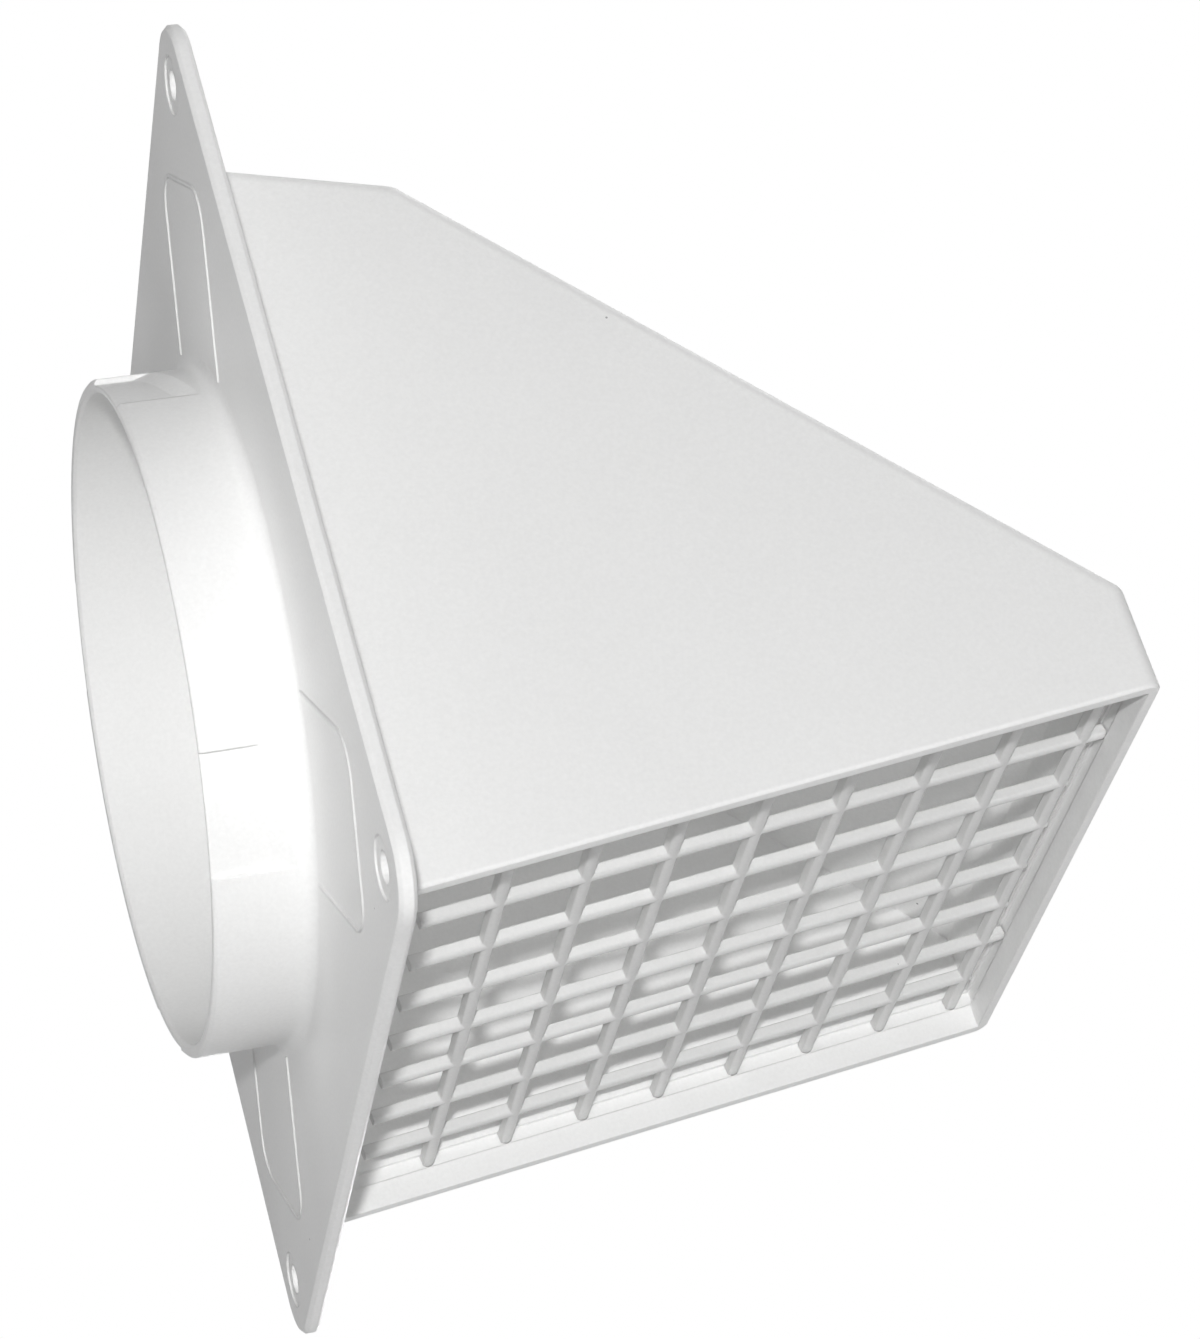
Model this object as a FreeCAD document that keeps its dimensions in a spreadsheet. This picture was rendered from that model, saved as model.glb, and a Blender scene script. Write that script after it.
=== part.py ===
"""Dryer vent cap: a moulded wall hood with a duct collar, a bird guard in its mouth and a damper flap inside.

The origin is on the collar's axis at the back of the wall flange. +Y goes into the wall, along the collar,
-Y goes out of the wall, under the hood, and +Z is up. Lengths are in millimetres, angles in degrees.
"""
import FreeCAD, Part
import math
import os
import re
import Sketcher

# Driving dimensions. A reach is a distance out of the wall from the flange's back, and a height or a drop is
# measured up or down from the collar's axis.
SIZES = {
    "flange_side": 147.0,
    "flange_thickness": 2.5,
    "flange_corner_radius": 8.5,
    "flange_edge_bevel": 0.6,
    "screw_spacing": 130.0,
    "screw_hole_diameter": 4.5,
    "screw_pad_diameter": 8.6,
    "screw_pad_depth": 0.3,
    "collar_diameter": 101.0,
    "collar_wall": 2.0,
    "collar_length": 14.5,
    "collar_root_radius": 2.0,
    "collar_rim_bevel": 0.5,
    "slide_line_span": 28.0,
    "slide_line_reach": 78.5,
    "slide_line_bend": 6.0,
    "slide_line_width": 0.5,
    "slide_line_height": 0.25,
    "slide_line_gap": 0.3,
    "slide_line_angle": 225.0,
    "ramp_depth": 0.9,
    "ramp_start_angle": 217.0,
    "ramp_sweep": 21.0,
    "ramp_low_gap": 0.4,
    "ramp_face": 3.0,
    "ramp_drop": 3.6,
    "hood_width": 106.0,
    "hood_wall": 2.0,
    "hood_reach": 117.5,
    "hood_top_height": 60.5,
    "hood_break_reach": 31.5,
    "hood_break_height": 53.0,
    "hood_edge_round": 2.5,
    "mouth_edge_bevel": 0.4,
    "lip_height": 17.0,
    "mouth_front_drop": 49.5,
    "mouth_back_drop": 63.0,
    "guard_recess": 4.3,
    "guard_groove": 0.6,
    "guard_clearance": 0.2,
    "guard_offset": 1.5,
    "bar_width": 1.9,
    "bar_height": 1.9,
    "bar_crown": 0.45,
    "long_bar_pitch": 12.22,
    "long_bar_start": 8.8,
    "cross_bar_pitch": 12.95,
    "cross_bar_start": 20.5,
    "seat_wall": 1.2,
    "seat_height": 2.5,
    "flap_thickness": 1.5,
    "flap_overlap": 1.4,
    "flap_clearance": 0.3,
    "flap_edge_bevel": 0.4,
    "barrel_diameter": 4.4,
    "barrel_length": 76.0,
    "barrel_clearance": 0.8,
    "barrel_end_gap": 0.4,
    "pin_diameter": 3.0,
    "pin_clearance": 0.08,
    "lug_thickness": 3.0,
    "lug_margin": 2.4,
}
LONG_BARS = 8
CROSS_BARS = 8
TIPPED_BARS = (1, 6)
QUARTERS = 4
SMALL = 0.01
# The most of a wall's thickness that the bevel of its edge may take.
BEVEL_SHARE = 0.45

# Formulas worked out from the driving dimensions.
COLLAR_RADIUS = "collar_diameter / 2"
BORE_RADIUS = "(collar_diameter / 2 - collar_wall)"
ROOF_PITCH = "atan((hood_top_height - hood_break_height) / (hood_break_reach - flange_thickness))"
LIP_TOP = "(lip_height - mouth_front_drop)"
SLOPE_PITCH = f"atan((hood_break_height - {LIP_TOP}) / (hood_reach - hood_break_reach))"
MOUTH_TILT = "atan((mouth_back_drop - mouth_front_drop) / (hood_reach - flange_thickness))"
INNER_HALF_WIDTH = "(hood_width / 2 - hood_wall)"
INNER_BREAK_SHIFT = (
    f"hood_wall * (1 / cos({SLOPE_PITCH}) - 1 / cos({ROOF_PITCH})) / (tan({SLOPE_PITCH}) - tan({ROOF_PITCH}))"
)
INNER_BREAK_REACH = f"(hood_break_reach - {INNER_BREAK_SHIFT})"
HINGE_REACH = "(flange_thickness + seat_height + flap_clearance + flap_thickness / 2)"
HINGE_HEIGHT = (
    f"(hood_top_height - ({HINGE_REACH} - flange_thickness) * tan({ROOF_PITCH})"
    f" - hood_wall / cos({ROOF_PITCH}) - barrel_clearance - barrel_diameter / 2)"
)
LUG_INNER = "(barrel_length / 2 + barrel_end_gap)"
RAMP_FOOT = "(collar_root_radius + ramp_low_gap + ramp_drop)"
LAST_CROSS_BAR = f"(cross_bar_start + {CROSS_BARS - 1} * cross_bar_pitch)"
BAR_NOSE_RADIUS = "(bar_width ^ 2 / 4 + bar_crown ^ 2) / (2 * bar_crown)"

ALIAS = re.compile(r"[a-z]+(?:_[a-z]+)+")
doc = FreeCAD.newDocument("dryer_vent_cap")
sheet = doc.addObject("Spreadsheet::Sheet", "Sizes")
for row, (alias, number) in enumerate(SIZES.items(), start=1):
    sheet.set(f"A{row}", alias)
    sheet.set(f"B{row}", str(number))
    sheet.setAlias(f"B{row}", alias)
doc.recompute()


def formula(text):
    """Give the text with each size's name pointing at its cell in the sheet."""
    return ALIAS.sub(lambda word: "Sizes." + word.group(), text)


def value(text):
    """Work a formula out as a number."""
    return float(sheet.evalExpression(formula(text)))


def new_body(label):
    """Make an empty body whose label names its file."""
    body = doc.addObject("PartDesign::Body", label)
    body.Label = label
    return body


def origin_feature(body, role):
    """Find one of a body's own planes or axes by its role."""
    return next(item for item in body.Origin.OriginFeatures if item.Role == role)


def new_sketch(body, plane, name, distance=None, turn=None):
    """Start a sketch on one of the body's planes, moved along its normal or turned about one of its axes."""
    sketch = body.newObject("Sketcher::SketchObject", name)
    sketch.AttachmentSupport = [(origin_feature(body, plane), "")]
    sketch.MapMode = "FlatFace"
    if turn:
        axis, angle = turn
        rotation = FreeCAD.Rotation(FreeCAD.Vector(*axis), value(angle))
        sketch.AttachmentOffset = FreeCAD.Placement(FreeCAD.Vector(), rotation)
        sketch.setExpression("AttachmentOffset.Rotation.Angle", formula(angle))
    if distance:
        sketch.setExpression("AttachmentOffset.Base.z", formula(distance))
    return sketch


def drive(sketch, kind, places, text):
    """Add a constraint of the given kind and bind its number to a formula."""
    index = sketch.addConstraint(Sketcher.Constraint(kind, *places, value(text)))
    sketch.setExpression(f"Constraints[{index}]", formula(text))


def bent_side(start, end, radius):
    """Give the arc from one point to another that turns left, or turns right where the radius is negative."""
    chord = end - start
    rise = abs(radius) - math.sqrt(radius ** 2 - chord.Length ** 2 / 4)
    outward = FreeCAD.Vector(chord.y, -chord.x, 0).normalize() * math.copysign(rise, radius)
    return Part.Arc(start, (start + end) / 2 + outward, end)


def add_outline(sketch, corners, bends=None):
    """Draw a closed outline through corners given as pairs of formulas.

    Bends gives the radius of each side that is an arc, by the number of the corner it leaves. It is above
    zero for a left turn and below zero for a right turn.
    """
    bends = bends or {}
    points = [FreeCAD.Vector(value(across), value(up), 0) for across, up in corners]
    sides = []
    for index, (start, end) in enumerate(zip(points, points[1:] + points[:1])):
        radius = value(bends[index]) if index in bends else 0.0
        curve = bent_side(start, end, radius) if radius else Part.LineSegment(start, end)
        # A sketch keeps an arc anticlockwise, so one that turns right has its ends swapped.
        ends = (2, 1) if radius < 0 else (1, 2)
        sides.append((sketch.addGeometry(curve, False), *ends))
    for index, (side, start, end) in enumerate(sides):
        following, next_start, _ = sides[(index + 1) % len(sides)]
        across, up = corners[index]
        sketch.addConstraint(Sketcher.Constraint("Coincident", side, end, following, next_start))
        drive(sketch, "DistanceX", (-1, 1, side, start), across)
        drive(sketch, "DistanceY", (-1, 1, side, start), up)
        if index in bends:
            drive(sketch, "Radius", (side,), f"abs({bends[index]})")


def add_circle(sketch, radius, across="0", up="0"):
    """Draw a circle of a given radius about a centre given as two formulas."""
    centre = FreeCAD.Vector(value(across), value(up), 0)
    circle = sketch.addGeometry(Part.Circle(centre, FreeCAD.Vector(0, 0, 1), value(radius)), False)
    drive(sketch, "DistanceX", (-1, 1, circle, 3), across)
    drive(sketch, "DistanceY", (-1, 1, circle, 3), up)
    drive(sketch, "Radius", (circle,), radius)


def add_bar_section(sketch, across):
    """Draw a bar's section: flat on the hood's inside, round towards the mouth."""
    left = f"{across} - bar_width / 2"
    right = f"{across} + bar_width / 2"
    shoulder = "guard_recess + bar_crown"
    back = "guard_recess + bar_height"
    corners = [(left, shoulder), (right, shoulder), (right, back), (left, back)]
    add_outline(sketch, corners, bends={0: BAR_NOSE_RADIUS})


def extrude(body, kind, sketch, name, length, side="One side", reverse=False):
    """Pad or pocket a sketch over a length given as a formula."""
    before = body.Tip.Shape.Volume if body.Tip else 0.0
    feature = body.newObject("PartDesign::" + kind, name)
    feature.Profile = sketch
    feature.SideType = side
    feature.Reversed = reverse
    feature.Length = value(length)
    feature.setExpression("Length", formula(length))
    doc.recompute()
    change = feature.Shape.Volume - before
    if change == 0 or (change > 0) != (kind == "Pad"):
        raise RuntimeError(f"{name} leaves the solid as it was")
    return feature


def soften_edges(body, kind, name, size, wanted):
    """Fillet or chamfer the edges of the body's newest feature for which the test holds."""
    base = body.Tip
    edges = [f"Edge{number}" for number, edge in enumerate(base.Shape.Edges, start=1) if wanted(edge)]
    feature = body.newObject("PartDesign::" + kind, name)
    feature.Base = (base, edges)
    key = "Radius" if kind == "Fillet" else "Size"
    setattr(feature, key, value(size))
    feature.setExpression(key, formula(size))
    doc.recompute()


def repeat(body, kind, name, feature, settings, bound=None):
    """Pattern or mirror a feature and make the result the body's tip."""
    pattern = body.newObject("PartDesign::" + kind, name)
    pattern.Originals = [feature]
    for key, setting in settings.items():
        setattr(pattern, key, setting)
    for key, text in (bound or {}).items():
        pattern.setExpression(key, formula(text))
    body.Tip = pattern
    doc.recompute()


def near(number, text):
    """Say whether a measured number agrees with a formula."""
    return abs(number - value(text)) < SMALL


def mouth_height(depth):
    """Give the height of the mouth's plane at a depth along Y."""
    return value(f"-mouth_front_drop - (hood_reach + ({depth:.6f})) * tan({MOUTH_TILT})")


def is_curve(edge, kind):
    """Say whether an edge has a length and lies on this kind of curve."""
    return not edge.Degenerated and isinstance(edge.Curve, kind)


def runs_along(edge, axis):
    """Say whether an edge is a straight line along the axis with this index."""
    if not is_curve(edge, Part.Line):
        return False
    return abs(abs(edge.tangentAt(edge.FirstParameter)[axis]) - 1) < SMALL


def is_ring(edge, radius, depth):
    """Say whether an edge is a full circle about the collar's axis at this radius and depth."""
    if not is_curve(edge, Part.Circle):
        return False
    return near(edge.Curve.Radius, radius) and near(edge.CenterOfMass.y, depth)


def make_flange(body):
    """The square wall plate, with round corners and softened edges."""
    sketch = new_sketch(body, "XZ_Plane", "flange_outline")
    half = "flange_side / 2"
    less = "-flange_side / 2"
    add_outline(sketch, [(less, less), (half, less), (half, half), (less, half)])
    extrude(body, "Pad", sketch, "flange_plate", "flange_thickness")
    soften_edges(body, "Fillet", "flange_corners", "flange_corner_radius", lambda edge: runs_along(edge, 1))
    soften_edges(
        body,
        "Chamfer",
        "flange_edges",
        f"min(flange_edge_bevel; flange_thickness * {BEVEL_SHARE})",
        lambda edge: not runs_along(edge, 1),
    )


def make_hood(body):
    """The hood's block, rounded outside and hollowed from below, with the guard's groove inside its mouth."""
    sketch = new_sketch(body, "YZ_Plane", "hood_side")
    add_outline(sketch, [
        ("-flange_thickness", "hood_top_height"),
        ("-hood_break_reach", "hood_break_height"),
        ("-hood_reach", LIP_TOP),
        ("-hood_reach", "-mouth_front_drop"),
        ("-flange_thickness", "-mouth_back_drop"),
    ])
    extrude(body, "Pad", sketch, "hood_block", "hood_width", side="Symmetric")

    def off_flange(edge):
        return min(vertex.Point.y for vertex in edge.Vertexes) < value("-flange_thickness") - SMALL

    def at_mouth(edge):
        return all(vertex.Point.z < mouth_height(vertex.Point.y) + SMALL for vertex in edge.Vertexes)

    soften_edges(
        body, "Fillet", "hood_edges", "hood_edge_round", lambda edge: off_flange(edge) and not at_mouth(edge)
    )
    soften_edges(
        body, "Chamfer", "mouth_edges", "mouth_edge_bevel", lambda edge: off_flange(edge) and at_mouth(edge)
    )

    below = "-mouth_back_drop - lip_height"
    hollow = new_sketch(body, "YZ_Plane", "hood_inside")
    inner_lip = "-(hood_reach - hood_wall)"
    add_outline(hollow, [
        ("-flange_thickness", f"hood_top_height - hood_wall / cos({ROOF_PITCH})"),
        (
            f"-{INNER_BREAK_REACH}",
            f"hood_break_height + {INNER_BREAK_SHIFT} * tan({ROOF_PITCH}) - hood_wall / cos({ROOF_PITCH})",
        ),
        (inner_lip, f"{LIP_TOP} + hood_wall * tan({SLOPE_PITCH}) - hood_wall / cos({SLOPE_PITCH})"),
        (inner_lip, below),
        ("-flange_thickness", below),
    ])
    extrude(body, "Pocket", hollow, "hood_hollow", f"2 * {INNER_HALF_WIDTH}", side="Symmetric")

    groove = new_sketch(body, "YZ_Plane", "guard_groove_side")
    groove_reach = "(hood_reach - hood_wall + guard_groove)"
    slope_rise = f"({groove_reach} - flange_thickness) * tan({MOUTH_TILT})"
    low = f"(guard_recess - guard_clearance) / cos({MOUTH_TILT}) - mouth_back_drop"
    high = f"(guard_recess + bar_height + guard_clearance) / cos({MOUTH_TILT}) - mouth_back_drop"
    add_outline(groove, [
        ("-flange_thickness", high),
        (f"-{groove_reach}", f"{high} + {slope_rise}"),
        (f"-{groove_reach}", f"{low} + {slope_rise}"),
        ("-flange_thickness", low),
    ])
    extrude(
        body, "Pocket", groove, "guard_slot", f"2 * ({INNER_HALF_WIDTH} + guard_groove)", side="Symmetric"
    )


def make_collar(body):
    """The duct collar behind the flange, the damper's seat in front of it and the bore through both."""
    tube = new_sketch(body, "XZ_Plane", "collar_ring")
    add_circle(tube, COLLAR_RADIUS)
    extrude(body, "Pad", tube, "collar_tube", "collar_length", reverse=True)
    seat = new_sketch(body, "XZ_Plane", "seat_ring")
    add_circle(seat, f"{BORE_RADIUS} + seat_wall")
    extrude(body, "Pad", seat, "damper_seat", "flange_thickness + seat_height")
    bore = new_sketch(body, "XZ_Plane", "bore_front_ring")
    add_circle(bore, BORE_RADIUS)
    extrude(body, "Pocket", bore, "bore_front", "flange_thickness + seat_height", reverse=True)
    back = new_sketch(body, "XZ_Plane", "bore_back_ring")
    add_circle(back, BORE_RADIUS)
    extrude(body, "Pocket", back, "bore_back", "collar_length")
    soften_edges(
        body, "Fillet", "collar_root", "collar_root_radius", lambda edge: is_ring(edge, COLLAR_RADIUS, "0")
    )
    soften_edges(
        body,
        "Chamfer",
        "collar_rim",
        f"min(collar_rim_bevel; collar_wall * {BEVEL_SHARE})",
        lambda edge: is_ring(edge, COLLAR_RADIUS, "collar_length")
        or is_ring(edge, BORE_RADIUS, "collar_length"),
    )


def make_ramps(body):
    """Four twist-lock ramps: helical steps in the collar that open at its rim and draw a duct end on."""
    sketch = new_sketch(body, "XY_Plane", "ramp_section", turn=((0, 1, 0), "-ramp_start_angle"))
    floor = f"{COLLAR_RADIUS} - ramp_depth"
    clear = f"{COLLAR_RADIUS} + ramp_depth"
    top = "collar_length + ramp_drop + ramp_face"
    add_outline(sketch, [
        (floor, f"{RAMP_FOOT} + ramp_face"),
        (COLLAR_RADIUS, RAMP_FOOT),
        (clear, RAMP_FOOT),
        (clear, top),
        (floor, top),
    ])
    ramp = body.newObject("PartDesign::SubtractiveHelix", "lock_ramp")
    ramp.Profile = sketch
    ramp.ReferenceAxis = (origin_feature(body, "Y_Axis"), [""])
    ramp.Mode = "height-turns-angle"
    ramp.Reversed = True
    ramp.LeftHanded = False
    ramp.setExpression("Height", formula("ramp_drop"))
    ramp.setExpression("Turns", formula("ramp_sweep / 360"))
    doc.recompute()
    turn_about_collar(body, "lock_ramps", ramp)


def turn_about_collar(body, name, feature):
    """Repeat a feature at each quarter turn about the collar's axis."""
    settings = {"Axis": (origin_feature(body, "Y_Axis"), [""]), "Occurrences": QUARTERS, "Angle": 360.0}
    repeat(body, "PolarPattern", name, feature, settings)


def make_back_marks(body):
    """Screw holes with their shallow pads, and the mould slides' raised lines on the flange's back."""
    half = "screw_spacing / 2"
    places = [(half, half), ("-" + half, half), (half, "-" + half), ("-" + half, "-" + half)]
    for name, diameter, depth in (
        ("screw_pads", "screw_pad_diameter", "screw_pad_depth"),
        ("screw_holes", "screw_hole_diameter", "flange_thickness"),
    ):
        sketch = new_sketch(body, "XZ_Plane", name + "_rings")
        for across, up in places:
            add_circle(sketch, diameter + " / 2", across, up)
        extrude(body, "Pocket", sketch, name, depth, reverse=True)

    line = new_sketch(body, "XZ_Plane", "slide_line_outline", turn=((0, 0, 1), "slide_line_angle"))
    side = "slide_line_span / 2"
    inner_side = f"({side} - slide_line_width)"
    foot = f"sqrt(({COLLAR_RADIUS} + collar_root_radius + slide_line_gap) ^ 2 - ({side}) ^ 2)"
    bend_foot = "(slide_line_reach - slide_line_bend)"
    bend_side = f"({side} - slide_line_bend)"
    inner_reach = "(slide_line_reach - slide_line_width)"
    inner_bend = "(slide_line_bend - slide_line_width)"
    corners = [
        (foot, f"-{side}"),
        (bend_foot, f"-{side}"),
        ("slide_line_reach", f"-{bend_side}"),
        ("slide_line_reach", bend_side),
        (bend_foot, side),
        (foot, side),
        (foot, inner_side),
        (bend_foot, inner_side),
        (inner_reach, bend_side),
        (inner_reach, f"-{bend_side}"),
        (bend_foot, f"-{inner_side}"),
        (foot, f"-{inner_side}"),
    ]
    bends = {1: "slide_line_bend", 3: "slide_line_bend", 7: f"-{inner_bend}", 9: f"-{inner_bend}"}
    add_outline(line, corners, bends)
    ridge = extrude(body, "Pad", line, "slide_line", "slide_line_height", reverse=True)
    turn_about_collar(body, "slide_lines", ridge)


def make_hinge_lugs(body):
    """Two ears in front of the flange, each with a hole for one of the flap's pins."""
    sketch = new_sketch(body, "YZ_Plane", "lug_side", distance=LUG_INNER)
    reach = f"-({HINGE_REACH} + pin_diameter / 2 + lug_margin)"
    low = f"{HINGE_HEIGHT} - pin_diameter / 2 - lug_margin"
    high = f"{HINGE_HEIGHT} + pin_diameter / 2 + lug_margin / 2"
    root = "-flange_thickness / 2"
    add_outline(sketch, [(root, low), (reach, low), (reach, high), (root, high)])
    add_circle(sketch, "pin_diameter / 2 + pin_clearance", f"-{HINGE_REACH}", HINGE_HEIGHT)
    lug = extrude(body, "Pad", sketch, "hinge_lug", "lug_thickness")
    plane = (origin_feature(body, "YZ_Plane"), [""])
    repeat(body, "Mirrored", "hinge_lugs", lug, {"MirrorPlane": plane})


def make_housing():
    """The one-piece moulding: flange, hood, collar, damper seat and hinge lugs."""
    body = new_body("hood_housing")
    make_flange(body)
    make_hood(body)
    make_collar(body)
    make_back_marks(body)
    make_ramps(body)
    make_hinge_lugs(body)
    return body


def make_guard():
    """The bird guard, drawn flat in the mouth's own plane and then tilted with it.

    In its own frame +Y points back to the flange, and the outer side of the mouth is at zero height.
    """
    body = new_body("bird_guard")
    long_length = f"{LAST_CROSS_BAR} + bar_width / 2 - long_bar_start"
    first = f"-{(LONG_BARS - 1) / 2} * long_bar_pitch - guard_offset"

    bar = new_sketch(body, "XZ_Plane", "long_bar_section", distance="long_bar_start")
    add_bar_section(bar, first)
    long_bar = extrude(body, "Pad", bar, "long_bar", long_length)
    settings = {"Direction": (origin_feature(body, "X_Axis"), [""]), "Occurrences": LONG_BARS}
    repeat(body, "LinearPattern", "long_bars", long_bar, settings, {
        "Length": f"{LONG_BARS - 1} * long_bar_pitch",
    })

    cross = new_sketch(body, "YZ_Plane", "cross_bar_section")
    add_bar_section(cross, "-cross_bar_start")
    cross_length = f"2 * ({INNER_HALF_WIDTH} + guard_groove - guard_clearance)"
    cross_bar = extrude(body, "Pad", cross, "cross_bar", cross_length, side="Symmetric")
    settings = {"Direction": (origin_feature(body, "Y_Axis"), [""]), "Occurrences": CROSS_BARS}
    settings["Reversed"] = True
    repeat(body, "LinearPattern", "cross_bars", cross_bar, settings, {
        "Length": f"{CROSS_BARS - 1} * cross_bar_pitch",
    })

    tip_end = (
        f"((hood_reach - hood_wall + guard_groove - guard_clearance - flange_thickness) / cos({MOUTH_TILT})"
        f" + guard_recess * tan({MOUTH_TILT}))"
    )
    for index in TIPPED_BARS:
        tip = new_sketch(body, "XZ_Plane", f"tip_section_{index + 1}", distance=LAST_CROSS_BAR)
        add_bar_section(tip, f"{first} + {index} * long_bar_pitch")
        extrude(body, "Pad", tip, f"tip_{index + 1}", f"{tip_end} - {LAST_CROSS_BAR}")

    body.Placement.Rotation = FreeCAD.Rotation(FreeCAD.Vector(1, 0, 0), -value(MOUTH_TILT))
    body.setExpression("Placement.Rotation.Angle", formula("-" + MOUTH_TILT))
    body.setExpression("Placement.Base.y", formula("-flange_thickness"))
    body.setExpression("Placement.Base.z", formula("-mouth_back_drop"))
    doc.recompute()
    return body


def make_flap():
    """The damper flap: a thin disc on a hinge strip, with a barrel and two stub pins at its top."""
    body = new_body("damper_flap")
    back = f"{HINGE_REACH} - flap_thickness / 2"
    disc = new_sketch(body, "XZ_Plane", "flap_outline", distance=back)
    add_circle(disc, f"{BORE_RADIUS} + flap_overlap")
    extrude(body, "Pad", disc, "flap_disc", "flap_thickness")
    strip = new_sketch(body, "XZ_Plane", "hinge_strip_outline", distance=back)
    half = "barrel_length / 2"
    left = "-" + half
    add_outline(strip, [(left, "0"), (half, "0"), (half, HINGE_HEIGHT), (left, HINGE_HEIGHT)])
    extrude(body, "Pad", strip, "hinge_strip", "flap_thickness")
    soften_edges(
        body,
        "Chamfer",
        "flap_edges",
        f"min(flap_edge_bevel; flap_thickness * {BEVEL_SHARE})",
        lambda edge: is_curve(edge, Part.Circle),
    )
    for name, diameter, length in (
        ("barrel", "barrel_diameter", "barrel_length"),
        ("pins", "pin_diameter", f"2 * ({LUG_INNER} + lug_thickness)"),
    ):
        sketch = new_sketch(body, "YZ_Plane", name + "_ring")
        add_circle(sketch, diameter + " / 2", f"-{HINGE_REACH}", HINGE_HEIGHT)
        extrude(body, "Pad", sketch, name, length, side="Symmetric")
    return body


def check_and_write(bodies):
    """Stop if anything failed or is not one sound solid, then write each body to its own file."""
    for item in doc.Objects:
        if "Invalid" in item.State or "Error" in item.State:
            raise RuntimeError(f"{item.Label} failed: {item.State}")
    for body in bodies:
        shape = body.Shape
        if shape.isNull() or not shape.isValid() or len(shape.Solids) != 1:
            raise RuntimeError(f"{body.Label} is not one sound solid")
    os.makedirs("parts", exist_ok=True)
    for body in bodies:
        body.Shape.exportStep(f"parts/{body.Label}.step")
        print(body.Label, "volume", round(body.Shape.Volume, 1), "faces", len(body.Shape.Faces))


parts = [make_housing(), make_guard(), make_flap()]
doc.recompute()
check_and_write(parts)
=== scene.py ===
"""Looks of a white moulded dryer vent cap: plastic finishes for its hood, bird guard and damper flap, and a studio.

Lengths are in metres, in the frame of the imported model: +Y goes into the wall, -Y out of it and +Z is up.
"""
import bpy
from mathutils import Matrix, Vector


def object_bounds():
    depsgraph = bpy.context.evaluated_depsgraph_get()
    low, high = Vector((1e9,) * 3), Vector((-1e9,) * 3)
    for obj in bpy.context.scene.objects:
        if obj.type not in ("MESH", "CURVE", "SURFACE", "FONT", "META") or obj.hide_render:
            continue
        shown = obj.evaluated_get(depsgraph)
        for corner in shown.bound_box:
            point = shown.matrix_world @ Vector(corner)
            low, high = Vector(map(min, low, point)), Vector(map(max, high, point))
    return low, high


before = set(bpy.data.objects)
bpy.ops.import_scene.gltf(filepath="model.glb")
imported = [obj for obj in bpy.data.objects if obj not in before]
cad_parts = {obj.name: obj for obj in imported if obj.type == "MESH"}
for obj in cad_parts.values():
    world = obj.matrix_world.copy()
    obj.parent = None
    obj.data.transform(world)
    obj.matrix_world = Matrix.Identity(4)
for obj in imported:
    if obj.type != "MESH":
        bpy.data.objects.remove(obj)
CAD_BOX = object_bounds()

bl_info = {
    "name": "Dryer Vent Cap Finish",
    "version": (1, 0, 0),
    "blender": (4, 5, 0),
    "location": "View3D > Sidebar > Vent Cap",
    "description": "Finishes a moulded dryer vent cap and sets it in a plain studio",
    "category": "Object",
}

SENSOR_WIDTH = 36.0
WHITE = (1.0, 1.0, 1.0, 1.0)

# Least and greatest roughness of each plastic, and its strength of reflection
HOUSING_GLOSS = (0.36, 0.5, 0.2)
GUARD_GLOSS = (0.32, 0.48, 0.3)
FLAP_GLOSS = (0.45, 0.6, 0.4)

# How fine, how rough and how bent the noise of the flow patches and of the grain is
FLOW_NOISE = {"Detail": 4.0, "Roughness": 0.55, "Distortion": 0.6}
GRAIN_NOISE = {"Detail": 2.0, "Roughness": 0.6}
GRAIN_MIDDLE = 0.5
# Range of flow times grain that is spread over a plastic's range of roughness
ROUGHNESS_SPREAD = (0.12, 0.38)
SPECK_SHADE = 0.55
GRAIN_STRENGTH = 0.5
EDGE_SAMPLES = 6

FLOOR_ROUGHNESS = 0.8
# Share of plain white in the floor where it is looked at; the rest shows the cap's shadow
FLOOR_WHITE = 0.8

LAMPS = ("key", "fill", "side", "front")
INTO_HOOD = Vector((1, 0, 0))
ONTO_FLANGE = Vector((0, -1, 0))


class VentCapFinish(bpy.types.PropertyGroup):
    """Colours and surface sizes of the mouldings."""

    housing_colour: bpy.props.FloatVectorProperty(
        name="Housing colour", description="White of the hood, flange and collar",
        subtype="COLOR", size=3, min=0.0, max=1.0, default=(0.92, 0.92, 0.915))
    guard_colour: bpy.props.FloatVectorProperty(
        name="Guard colour", description="White of the bird guard",
        subtype="COLOR", size=3, min=0.0, max=1.0, default=(0.74, 0.74, 0.735))
    flap_colour: bpy.props.FloatVectorProperty(
        name="Flap colour", description="White of the damper flap",
        subtype="COLOR", size=3, min=0.0, max=1.0, default=(0.82, 0.82, 0.81))
    flow_shade: bpy.props.FloatProperty(
        name="Flow shade", description="How much darker the plastic is where it flowed last",
        subtype="FACTOR", min=0.0, max=0.3, default=0.05)
    flow_size: bpy.props.FloatProperty(
        name="Flow size", description="Width of the cloudy patches that the flowing plastic leaves",
        unit="LENGTH", default=0.045)
    grain_size: bpy.props.FloatProperty(
        name="Grain size", description="Width of one grain of the mould's texture",
        unit="LENGTH", default=0.0006)
    grain_depth: bpy.props.FloatProperty(
        name="Grain depth", description="Depth of the mould's texture",
        unit="LENGTH", default=0.00003)
    grain_shade: bpy.props.FloatProperty(
        name="Grain shade", description="How much the plastic's white changes from grain to grain",
        subtype="FACTOR", min=0.0, max=0.3, default=0.1)
    edge_round: bpy.props.FloatProperty(
        name="Edge round", description="Radius at which sharp edges catch the light",
        unit="LENGTH", default=0.0004)
    speck_spacing: bpy.props.FloatProperty(
        name="Speck spacing", description="Usual distance between specks of char in the plastic",
        unit="LENGTH", default=0.012)
    speck_size: bpy.props.FloatProperty(
        name="Speck size", description="Radius of the largest specks", unit="LENGTH", default=0.0003)


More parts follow.
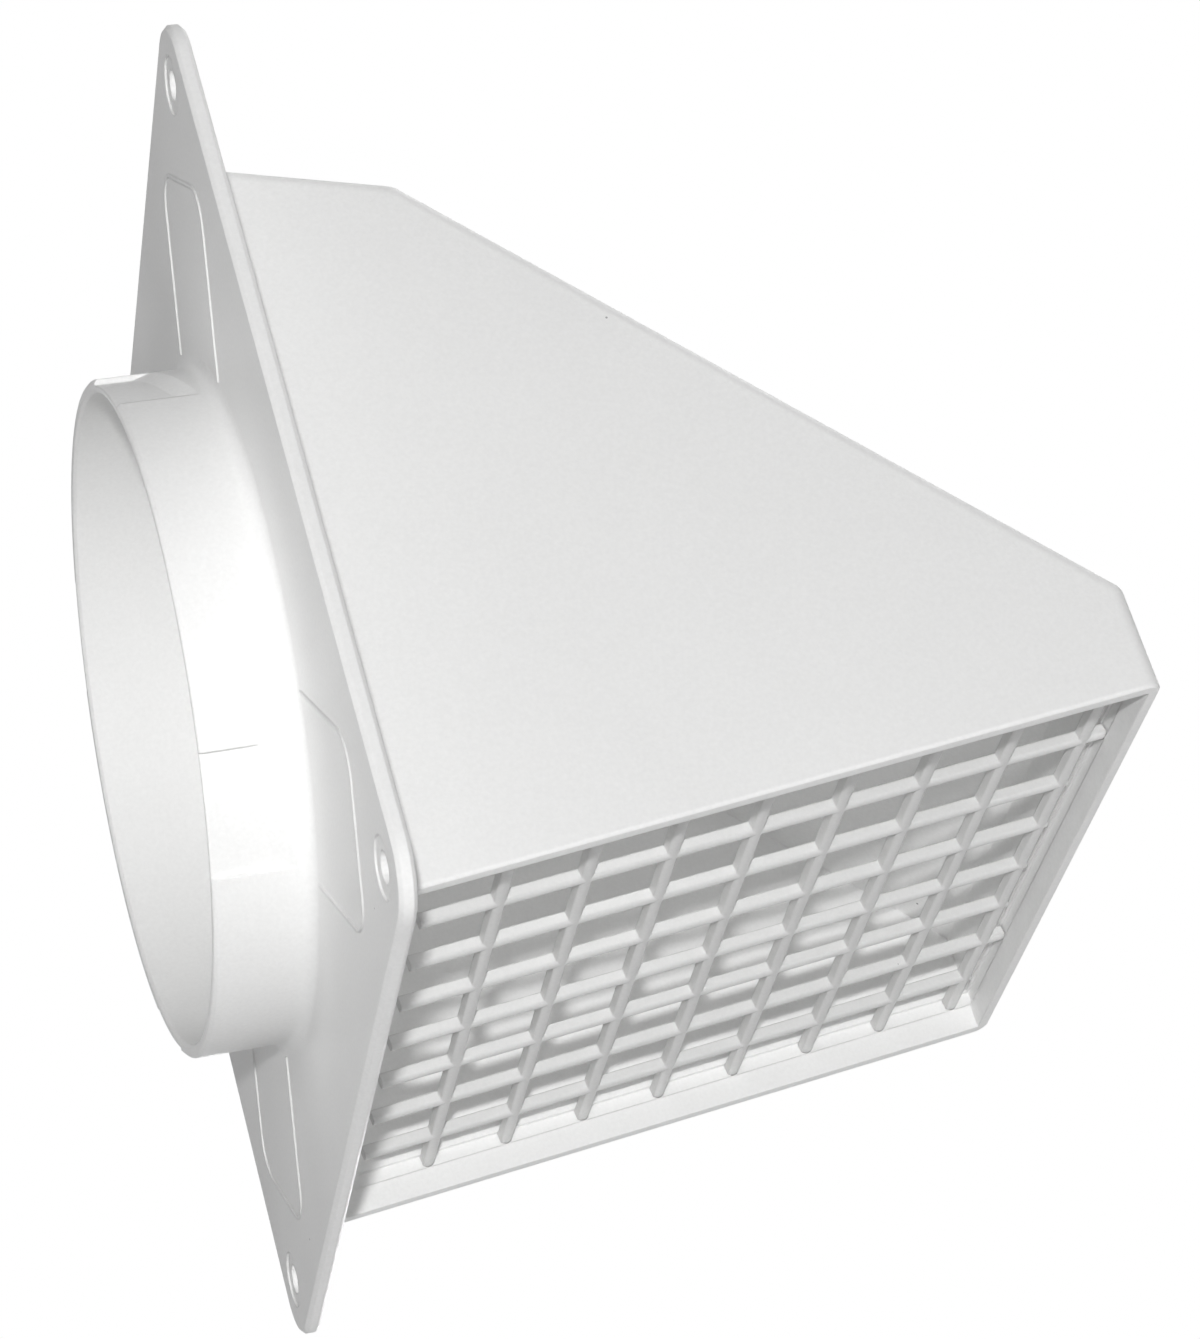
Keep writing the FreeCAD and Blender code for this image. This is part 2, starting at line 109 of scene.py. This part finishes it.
class VentCapStage(bpy.types.PropertyGroup):
    """Camera, lamps and floor."""

    camera_place: bpy.props.FloatVectorProperty(
        name="Camera place", description="Where the camera stands, low and behind the flange",
        subtype="TRANSLATION", unit="LENGTH", size=3, default=(-0.494465, 0.101280, -0.290963))
    camera_forward: bpy.props.FloatVectorProperty(
        name="Camera direction", description="The way that the camera looks",
        subtype="DIRECTION", size=3, default=(0.833247, -0.265303, 0.485091))
    camera_right: bpy.props.FloatVectorProperty(
        name="Camera right", description="The way that the picture's right side points",
        subtype="DIRECTION", size=3, default=(-0.152517, -0.953607, -0.259562))
    lens: bpy.props.FloatProperty(
        name="Lens", description="Focal length in millimetres", default=104.92)
    key_place: bpy.props.FloatVectorProperty(
        name="Key place", description="Where the key lamp stands, behind and a little above the camera",
        subtype="TRANSLATION", unit="LENGTH", size=3, default=(-1.0527, 0.2405, -0.4417))
    key_size: bpy.props.FloatProperty(
        name="Key size", description="Width of the key lamp", unit="LENGTH", default=0.05)
    key_power: bpy.props.FloatProperty(
        name="Key power", description="Power of the key lamp in watts", default=8.45)
    fill_place: bpy.props.FloatVectorProperty(
        name="Fill place", description="Where the fill lamp stands, behind the flange",
        subtype="TRANSLATION", unit="LENGTH", size=3, default=(-0.5, 1.2, 0.3))
    fill_size: bpy.props.FloatProperty(
        name="Fill size", description="Width of the fill lamp", unit="LENGTH", default=0.9)
    fill_power: bpy.props.FloatProperty(
        name="Fill power", description="Power of the fill lamp in watts", default=0.6)
    side_place: bpy.props.FloatVectorProperty(
        name="Side place", description="Where the side lamp stands, in front of the hood's far side and above it",
        subtype="TRANSLATION", unit="LENGTH", size=3, default=(0.9, -0.45, 0.35))
    side_size: bpy.props.FloatProperty(
        name="Side size", description="Width of the side lamp", unit="LENGTH", default=0.7)
    side_power: bpy.props.FloatProperty(
        name="Side power", description="Power of the side lamp in watts", default=6.0)
    front_place: bpy.props.FloatVectorProperty(
        name="Front place", description="Where the front lamp stands, over the hood's slope",
        subtype="TRANSLATION", unit="LENGTH", size=3, default=(0.1, -0.7, 1.0))
    front_size: bpy.props.FloatProperty(
        name="Front size", description="Width of the front lamp", unit="LENGTH", default=0.8)
    front_power: bpy.props.FloatProperty(
        name="Front power", description="Power of the front lamp in watts", default=4.5)
    glow_place: bpy.props.FloatVectorProperty(
        name="Glow place", description="On the lit cheek's inside, where light comes through the thin plastic",
        subtype="TRANSLATION", unit="LENGTH", size=3, default=(-0.0485, -0.036, -0.016))
    glow_size: bpy.props.FloatProperty(
        name="Glow size", description="Width of the cheek that lets light through", unit="LENGTH", default=0.05)
    glow_power: bpy.props.FloatProperty(
        name="Glow power", description="Power of the light that comes through, in watts", default=0.009)
    near_place: bpy.props.FloatVectorProperty(
        name="Near place", description="Where the near lamp stands, close behind the flange's near side",
        subtype="TRANSLATION", unit="LENGTH", size=3, default=(-0.05, 0.07, -0.03))
    near_size: bpy.props.FloatProperty(
        name="Near size", description="Width of the near lamp", unit="LENGTH", default=0.05)
    near_power: bpy.props.FloatProperty(
        name="Near power", description="Power of the near lamp in watts", default=0.0125)
    room_light: bpy.props.FloatProperty(
        name="Room light", description="Strength of the even light from all round", default=0.09)
    floor_height: bpy.props.FloatProperty(
        name="Floor height", description="Height of the floor, below every view of the cap",
        unit="LENGTH", default=-0.65)
    floor_width: bpy.props.FloatProperty(
        name="Floor width", description="Width of the floor", unit="LENGTH", default=12.0)
    floor_colour: bpy.props.FloatVectorProperty(
        name="Floor colour", description="Pale floor",
        subtype="COLOR", size=3, min=0.0, max=1.0, default=(0.9, 0.9, 0.9))


def add_node(tree, kind, place, inputs=None, **settings):
    """Add a node, set its options and fill or link its inputs."""
    node = tree.nodes.new(kind)
    node.location = place
    for name, setting in settings.items():
        setattr(node, name, setting)
    for name, source in (inputs or {}).items():
        if isinstance(source, bpy.types.NodeSocket):
            tree.links.new(source, node.inputs[name])
        else:
            node.inputs[name].default_value = source
    return node


def add_math(tree, operation, place, *terms):
    """Add a node that works out one value from two or three others, and give that value."""
    return add_node(tree, "ShaderNodeMath", place, dict(enumerate(terms)), operation=operation).outputs[0]


def new_group(name, inputs, outputs):
    """Start a shader node group with named sockets and give its tree, entry and exit."""
    tree = bpy.data.node_groups.new(name, "ShaderNodeTree")
    for in_out, sockets in (("INPUT", inputs), ("OUTPUT", outputs)):
        for label, kind in sockets.items():
            tree.interface.new_socket(name=label, in_out=in_out, socket_type=f"NodeSocket{kind}")
    entry = add_node(tree, "NodeGroupInput", (-900, 0))
    leave = add_node(tree, "NodeGroupOutput", (900, 0))
    return tree, entry.outputs, leave.inputs


def moulded_skin_group():
    """Cloudy flow patches, roughness that follows them, a fine mould grain and a few dark specks."""
    tree, given, result = new_group(
        "moulded_skin",
        {
            "Colour": "Color", "Shade": "Float", "Flow Scale": "Float", "Grain Scale": "Float",
            "Grain Shade": "Float", "Speck Scale": "Float", "Speck Radius": "Float",
            "Smooth": "Float", "Rough": "Float",
        },
        {"Colour": "Color", "Roughness": "Float", "Height": "Float"},
    )
    place = add_node(tree, "ShaderNodeTexCoord", (-900, -300)).outputs["Object"]
    flow = add_node(tree, "ShaderNodeTexNoise", (-600, 200), {
        "Vector": place, "Scale": given["Flow Scale"], **FLOW_NOISE,
    }).outputs["Fac"]
    grain = add_node(tree, "ShaderNodeTexNoise", (-600, -200), {
        "Vector": place, "Scale": given["Grain Scale"], **GRAIN_NOISE,
    }).outputs["Fac"]
    cloud = add_math(tree, "MULTIPLY", (-400, 300), flow, given["Shade"])
    mottle = add_math(tree, "SUBTRACT", (-400, 150), grain, GRAIN_MIDDLE)
    darker = add_math(tree, "MULTIPLY_ADD", (-200, 300), mottle, given["Grain Shade"], cloud)
    cells = add_node(tree, "ShaderNodeTexVoronoi", (-600, 600), {"Vector": place, "Scale": given["Speck Scale"]})
    chance = add_node(tree, "ShaderNodeSeparateColor", (-400, 700), {0: cells.outputs["Color"]}).outputs["Red"]
    radius = add_math(tree, "MULTIPLY", (-200, 700), chance, given["Speck Radius"])
    speck = add_math(tree, "LESS_THAN", (0, 600), cells.outputs["Distance"], radius)
    speck_shade = add_math(tree, "MULTIPLY", (150, 600), speck, SPECK_SHADE)
    all_shade = add_math(tree, "ADD", (150, 450), darker, speck_shade)
    kept = add_math(tree, "SUBTRACT", (300, 450), 1.0, all_shade)
    colour = add_node(tree, "ShaderNodeVectorMath", (500, 300), {
        0: given["Colour"], "Scale": kept,
    }, operation="SCALE")
    least, most = ROUGHNESS_SPREAD
    rough = add_node(tree, "ShaderNodeMapRange", (200, 0), {
        "Value": add_math(tree, "MULTIPLY", (-300, 0), flow, grain), "From Min": least, "From Max": most,
        "To Min": given["Smooth"], "To Max": given["Rough"],
    })
    tree.links.new(colour.outputs[0], result["Colour"])
    tree.links.new(rough.outputs["Result"], result["Roughness"])
    tree.links.new(grain, result["Height"])
    return tree


def plastic(name, colour, finish, gloss):
    """A white moulded plastic with its own colour and gloss."""
    smooth, rough, specular = gloss
    material = bpy.data.materials.new(name)
    material.use_nodes = True
    tree = material.node_tree
    shader = tree.nodes["Principled BSDF"]
    skin = bpy.data.node_groups.get("moulded_skin") or moulded_skin_group()
    group = add_node(tree, "ShaderNodeGroup", (-700, 0), {
        "Colour": (*colour, 1.0),
        "Shade": finish.flow_shade,
        "Flow Scale": 1.0 / finish.flow_size,
        "Grain Scale": 1.0 / finish.grain_size,
        "Grain Shade": finish.grain_shade,
        "Speck Scale": 1.0 / finish.speck_spacing,
        "Speck Radius": finish.speck_size / finish.speck_spacing,
        "Smooth": smooth,
        "Rough": rough,
    }, node_tree=skin)
    edge = add_node(tree, "ShaderNodeBevel", (-700, -300), {"Radius": finish.edge_round}, samples=EDGE_SAMPLES)
    bump = add_node(tree, "ShaderNodeBump", (-350, -250), {
        "Strength": GRAIN_STRENGTH, "Distance": finish.grain_depth,
        "Height": group.outputs["Height"], "Normal": edge.outputs["Normal"],
    })
    tree.links.new(group.outputs["Colour"], shader.inputs["Base Color"])
    tree.links.new(group.outputs["Roughness"], shader.inputs["Roughness"])
    tree.links.new(bump.outputs["Normal"], shader.inputs["Normal"])
    shader.inputs["Specular IOR Level"].default_value = specular
    return material


def dress(node, material):
    """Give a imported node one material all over."""
    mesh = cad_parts[node].data
    mesh.materials.clear()
    mesh.materials.append(material)


class VENTCAP_OT_housing(bpy.types.Operator):
    """Finish the hood housing in white satin plastic"""

    bl_idname = "ventcap.housing"
    bl_label = "Hood Housing"

    def execute(self, context):
        finish = context.scene.vent_cap_finish
        dress("hood_housing", plastic("housing_plastic", finish.housing_colour, finish, HOUSING_GLOSS))
        return {"FINISHED"}


class VENTCAP_OT_guard(bpy.types.Operator):
    """Finish the bird guard"""

    bl_idname = "ventcap.guard"
    bl_label = "Bird Guard"

    def execute(self, context):
        finish = context.scene.vent_cap_finish
        dress("bird_guard", plastic("guard_plastic", finish.guard_colour, finish, GUARD_GLOSS))
        return {"FINISHED"}


class VENTCAP_OT_flap(bpy.types.Operator):
    """Finish the damper flap"""

    bl_idname = "ventcap.flap"
    bl_label = "Damper Flap"

    def execute(self, context):
        finish = context.scene.vent_cap_finish
        dress("damper_flap", plastic("flap_plastic", finish.flap_colour, finish, FLAP_GLOSS))
        return {"FINISHED"}


def seen_directly(tree, x, y):
    """A value that is 1 where the camera, a reflection or glass looks at the backdrop."""
    path = add_node(tree, "ShaderNodeLightPath", (x, y)).outputs
    camera_or_gloss = add_math(tree, "MAXIMUM", (x + 200, y), path["Is Camera Ray"], path["Is Glossy Ray"])
    return add_math(tree, "MAXIMUM", (x + 400, y), camera_or_gloss, path["Is Transmission Ray"])


def make_room(stage):
    """Even light from all round, with a white backdrop where it is looked at."""
    world = bpy.data.worlds.new("studio_room")
    bpy.context.scene.world = world
    world.use_nodes = True
    tree = world.node_tree
    tree.nodes.clear()
    light = add_node(tree, "ShaderNodeBackground", (0, 150), {"Color": WHITE, "Strength": stage.room_light})
    backdrop = add_node(tree, "ShaderNodeBackground", (0, 0), {"Color": WHITE, "Strength": 1.0})
    mix = add_node(tree, "ShaderNodeMixShader", (250, 100), {
        0: seen_directly(tree, -500, 300), 1: light.outputs[0], 2: backdrop.outputs[0],
    })
    add_node(tree, "ShaderNodeOutputWorld", (450, 100), {"Surface": mix.outputs[0]})


def make_floor(stage):
    """A wide pale floor that stays below every view of the cap."""
    half = stage.floor_width / 2
    mesh = bpy.data.meshes.new("studio_floor")
    corners = [(-half, -half, 0), (half, -half, 0), (half, half, 0), (-half, half, 0)]
    mesh.from_pydata(corners, [], [(0, 1, 2, 3)])
    floor = bpy.data.objects.new("studio_floor", mesh)
    floor.location.z = stage.floor_height
    bpy.context.scene.collection.objects.link(floor)
    material = bpy.data.materials.new("pale_floor")
    material.use_nodes = True
    tree = material.node_tree
    paint = tree.nodes["Principled BSDF"]
    paint.inputs["Base Color"].default_value = (*stage.floor_colour, 1.0)
    paint.inputs["Roughness"].default_value = FLOOR_ROUGHNESS
    white = add_node(tree, "ShaderNodeEmission", (0, -300), {"Color": WHITE, "Strength": 1.0})
    share = add_math(tree, "MULTIPLY", (150, 200), seen_directly(tree, -500, 300), FLOOR_WHITE)
    mix = add_node(tree, "ShaderNodeMixShader", (350, 0), {0: share, 1: paint.outputs[0], 2: white.outputs[0]})
    tree.links.new(mix.outputs[0], tree.nodes["Material Output"].inputs["Surface"])
    mesh.materials.append(material)


def make_lamp(name, place, aim, size, power):
    """A round soft lamp that points at a place."""
    data = bpy.data.lights.new(name, "AREA")
    data.shape = "DISK"
    data.size = size
    data.energy = power
    lamp = bpy.data.objects.new(name, data)
    lamp.location = place
    lamp.rotation_mode = "QUATERNION"
    lamp.rotation_quaternion = (aim - place).to_track_quat("-Z", "Y")
    bpy.context.scene.collection.objects.link(lamp)
    return lamp


def make_hidden_lamp(name, place, direction, size, power):
    """A small lamp close to the cap, seen only by what it falls on."""
    place = Vector(place)
    lamp = make_lamp(name, place, place + direction, size, power)
    lamp.visible_camera = False
    lamp.visible_glossy = False


def make_camera(stage):
    """The camera at the picture's angle."""
    data = bpy.data.cameras.new("picture_camera")
    data.lens = stage.lens
    data.sensor_width = SENSOR_WIDTH
    camera = bpy.data.objects.new("picture_camera", data)
    back = -Vector(stage.camera_forward).normalized()
    up = back.cross(Vector(stage.camera_right)).normalized()
    right = up.cross(back)
    turn = Matrix((right, up, back)).transposed()
    camera.matrix_world = Matrix.Translation(stage.camera_place) @ turn.to_4x4()
    bpy.context.scene.collection.objects.link(camera)
    bpy.context.scene.camera = camera


class VENTCAP_OT_stage(bpy.types.Operator):
    """Set up the camera, lamps, room light and floor"""

    bl_idname = "ventcap.stage"
    bl_label = "Studio Stage"

    def execute(self, context):
        stage = context.scene.vent_cap_stage
        context.scene.view_settings.view_transform = "Standard"
        low, high = CAD_BOX
        middle = (low + high) / 2
        make_camera(stage)
        for lamp in LAMPS:
            place, size, power = (getattr(stage, f"{lamp}_{part}") for part in ("place", "size", "power"))
            make_lamp(f"{lamp}_lamp", Vector(place), middle, size, power)
        make_hidden_lamp("cheek_glow", stage.glow_place, INTO_HOOD, stage.glow_size, stage.glow_power)
        make_hidden_lamp("near_lamp", stage.near_place, ONTO_FLANGE, stage.near_size, stage.near_power)
        make_room(stage)
        make_floor(stage)
        return {"FINISHED"}


class VIEW3D_PT_vent_cap(bpy.types.Panel):
    """Sizes, colours and steps of the vent cap's finish"""

    bl_label = "Vent Cap"
    bl_space_type = "VIEW_3D"
    bl_region_type = "UI"
    bl_category = "Vent Cap"

    def draw(self, context):
        for group in (context.scene.vent_cap_finish, context.scene.vent_cap_stage):
            box = self.layout.box()
            for name in group.__annotations__:
                box.prop(group, name)
        for step in STEPS:
            self.layout.operator(step.bl_idname)


GROUPS = (VentCapFinish, VentCapStage)
STEPS = (VENTCAP_OT_housing, VENTCAP_OT_guard, VENTCAP_OT_flap, VENTCAP_OT_stage)
CLASSES = (*GROUPS, *STEPS, VIEW3D_PT_vent_cap)


def register():
    """Add the classes and the scene's settings."""
    for cls in CLASSES:
        bpy.utils.register_class(cls)
    bpy.types.Scene.vent_cap_finish = bpy.props.PointerProperty(type=VentCapFinish)
    bpy.types.Scene.vent_cap_stage = bpy.props.PointerProperty(type=VentCapStage)


def unregister():
    """Take the settings and classes away again."""
    del bpy.types.Scene.vent_cap_stage
    del bpy.types.Scene.vent_cap_finish
    for cls in reversed(CLASSES):
        bpy.utils.unregister_class(cls)


def main():
    """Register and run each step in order."""
    register()
    bpy.ops.ventcap.housing()
    bpy.ops.ventcap.guard()
    bpy.ops.ventcap.flap()
    bpy.ops.ventcap.stage()


if __name__ == "__main__":
    main()
